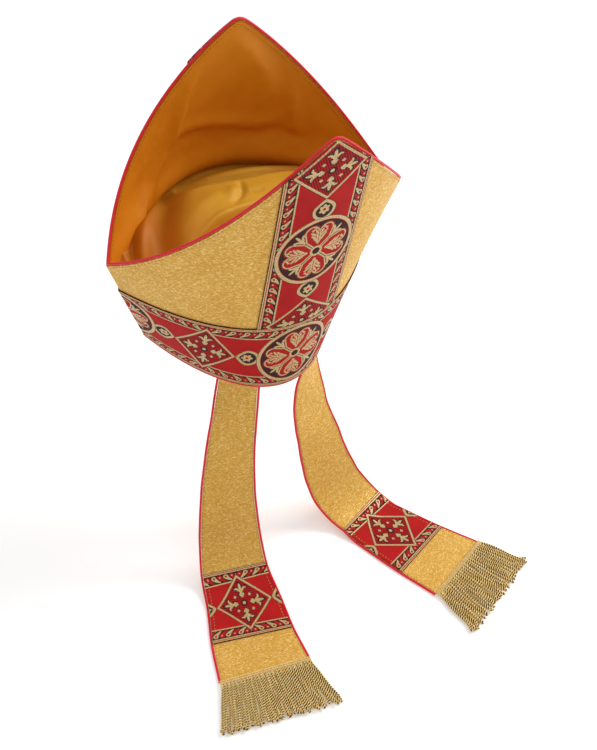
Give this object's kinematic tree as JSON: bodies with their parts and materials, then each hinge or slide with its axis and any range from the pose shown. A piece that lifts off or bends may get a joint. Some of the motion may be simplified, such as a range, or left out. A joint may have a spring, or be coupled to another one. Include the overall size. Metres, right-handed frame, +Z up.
{
  "type": "bishop mitre",
  "caption": "Tall ceremonial head covering with a front and a back horn, patterned braid bands, satin lining, and fringed lappets hanging from the back rim.",
  "frame": {"origin": "middle of the head opening, in the plane of the rim, where the mitre sits round a head", "axes": "+Z up as worn, -Y the way the wearer faces, +X the wearer's left; the crown leans back 21 degrees"},
  "size_m": [0.3537, 0.3806, 0.5292],
  "materials": {
    "brocade": "gold lurex brocade with a fine glitter",
    "satin": "smooth gold satin",
    "braid": "woven red and gold braid",
    "piping": "matt crimson covered cord",
    "bullion": "twisted gold cord fringe"
  },
  "bodies": {
    "root": {"back_panel": "brocade", "front_panel": "brocade", "left_lappet": "brocade", "right_lappet": "brocade", "back_lining": "satin", "front_lining": "satin", "crown_lining": "satin", "back_band": "braid", "front_band": "braid", "back_upright_band": "braid", "front_upright_band": "braid", "left_lappet_braid": "braid", "right_lappet_braid": "braid", "horn_piping": "piping", "rim_piping": "piping", "left_lappet_inner_piping": "piping", "left_lappet_outer_piping": "piping", "right_lappet_inner_piping": "piping", "right_lappet_outer_piping": "piping", "left_fringe": "bullion", "right_fringe": "bullion"}
  },
  "joints": []
}
